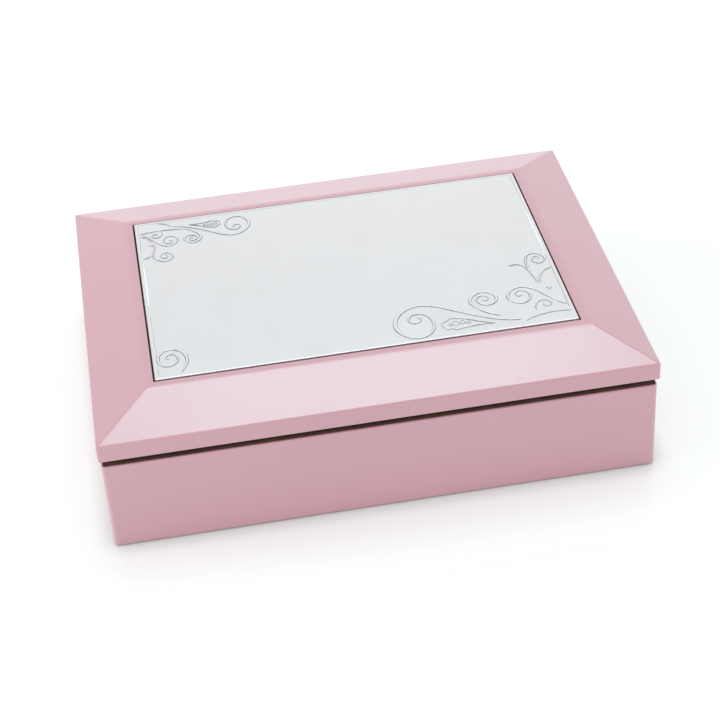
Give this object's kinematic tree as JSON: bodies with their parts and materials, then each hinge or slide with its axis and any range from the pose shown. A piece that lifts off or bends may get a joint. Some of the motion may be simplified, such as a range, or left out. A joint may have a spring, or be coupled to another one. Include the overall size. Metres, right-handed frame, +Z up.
{
  "type": "ballerina jewellery box",
  "caption": "Low hinged jewellery box with a mitred sloping lid round an embossed plate; a clockwork dancer rises inside and turns as it opens.",
  "frame": {"origin": "centre of the box's resting face, on the surface it stands on", "axes": "+X to the right along the box's long side, +Y from the front to the hinges, +Z up; lid closed"},
  "size_m": [0.23, 0.1808, 0.0609],
  "materials": {
    "lacquer": "pink satin lacquer on MDF",
    "hardboard": "plain hardboard",
    "felt": "pressed felt",
    "velvet": "brown flock velvet",
    "padding": "velvet over foam",
    "bumper": "clear silicone",
    "card": "grey board",
    "silver": "embossed silver-plated sheet, satin",
    "mirror": "silvered glass",
    "nickel": "nickel plated",
    "pine": "planed pine",
    "casting": "zinc casting",
    "steel": "spring steel",
    "brass": "turned brass",
    "nylon": "nylon",
    "doll": "moulded plastic, painted",
    "tulle": "pink tulle"
  },
  "bodies": {
    "base": {"base_front_board": "lacquer", "base_back_board": "lacquer", "base_left_board": "lacquer", "base_right_board": "lacquer", "bottom_panel": "hardboard", "felt_base": "felt", "floor_lining": "velvet", "wall_lining": "velvet", "lid_bumpers": "bumper", "divider_left": "velvet", "divider_right": "velvet", "housing_front_wall": "velvet", "deck_panel": "velvet", "cross_divider_rolls": "velvet", "cross_divider_left": "velvet", "cross_divider_right_front": "velvet", "cross_divider_right_back": "velvet", "cross_divider_centre": "velvet", "ring_roll_1": "padding", "ring_roll_2": "padding", "ring_roll_3": "padding", "ring_roll_4": "padding", "ring_roll_5": "padding", "hinge_left_base_leaf": "nickel", "hinge_right_base_leaf": "nickel", "hinge_pins": "nickel", "hinge_base_screws": "nickel", "movement_riser": "pine", "bedplate": "casting", "movement_screws": "nickel", "comb": "steel", "spindle_bush": "brass"},
    "lid": {"lid_front_rail": "lacquer", "lid_back_rail": "lacquer", "lid_left_rail": "lacquer", "lid_right_rail": "lacquer", "lid_panel": "hardboard", "plate_backing": "card", "silver_plate": "silver", "lid_lining": "velvet", "mirror": "mirror", "hinge_left_lid_leaf": "nickel", "hinge_right_lid_leaf": "nickel", "hinge_lid_screws": "nickel"},
    "dancer_mount": {"dancer_spring": "steel"},
    "dancer": {"dancer_collar": "brass", "dancer_figure": "doll", "dancer_tutu": "tulle"},
    "barrel": {"barrel": "brass", "mainspring": "steel"},
    "key": {"winding_key": "nickel", "winding_arbor": "steel", "ratchet_wheel": "steel"},
    "click": {"ratchet_click": "steel"},
    "cylinder": {"music_cylinder": "brass"},
    "governor": {"governor_wheel": "brass"},
    "fly": {"fly": "nylon"},
    "stop_lever": {"stop_lever": "steel"},
    "stop_plunger": {"stop_plunger": "steel"}
  },
  "joints": [
    {"name": "lid_hinge", "type": "hinge", "parent": "base", "child": "lid", "pos_m": [0, 0.0896, 0.0435], "axis": [-1, 0, 0], "range_deg": [0, 100]},
    {"name": "dancer_fold", "type": "hinge", "parent": "base", "child": "dancer_mount", "pos_m": [0, 0.018, 0.037], "axis": [-1, 0, 0], "range_deg": [0, 90], "deforming": ["dancer_spring"]},
    {"name": "dancer_spin", "type": "hinge", "parent": "dancer_mount", "child": "dancer", "pos_m": [0, 0.018, 0.037], "axis": [0, -1, 0], "continuous": true},
    {"name": "barrel_spin", "type": "hinge", "parent": "base", "child": "barrel", "pos_m": [0, 0.018, 0.02], "axis": [0, 0, 1], "continuous": true},
    {"name": "key_turn", "type": "hinge", "parent": "base", "child": "key", "pos_m": [0, 0.018, 0.006], "axis": [0, 0, 1], "continuous": true},
    {"name": "click_lift", "type": "hinge", "parent": "base", "child": "click", "pos_m": [0.0062, 0.025, 0.011], "axis": [0, 0, 1], "range_deg": [0, 12], "stiffness_Nm_per_rad": 0.002},
    {"name": "cylinder_spin", "type": "hinge", "parent": "base", "child": "cylinder", "pos_m": [0, 0.045, 0.0205], "axis": [0, 1, 0], "continuous": true},
    {"name": "governor_spin", "type": "hinge", "parent": "base", "child": "governor", "pos_m": [-0.0079, 0.06, 0.0205], "axis": [0, 1, 0], "continuous": true},
    {"name": "fly_spin", "type": "hinge", "parent": "base", "child": "fly", "pos_m": [-0.0149, 0.055, 0.0205], "axis": [0, 1, 0], "continuous": true},
    {"name": "lever_swing", "type": "hinge", "parent": "base", "child": "stop_lever", "pos_m": [-0.0149, 0.031, 0.026], "axis": [1, 0, 0], "range_deg": [0, 2.4]},
    {"name": "plunger_slide", "type": "slide", "parent": "base", "child": "stop_plunger", "axis": [0, 0, 1], "range_m": [0, 0.0012]}
  ],
  "couplings": [
    {"joint": "dancer_fold", "follows": "lid_hinge", "ratio": 0.9},
    {"joint": "plunger_slide", "follows": "lid_hinge", "m_per_rad": 0.00068},
    {"joint": "lever_swing", "follows": "lid_hinge", "ratio": 0.022},
    {"joint": "dancer_spin", "follows": "barrel_spin", "ratio": 1},
    {"joint": "cylinder_spin", "follows": "barrel_spin", "ratio": 4},
    {"joint": "governor_spin", "follows": "barrel_spin", "ratio": -12},
    {"joint": "fly_spin", "follows": "barrel_spin", "ratio": 36}
  ]
}
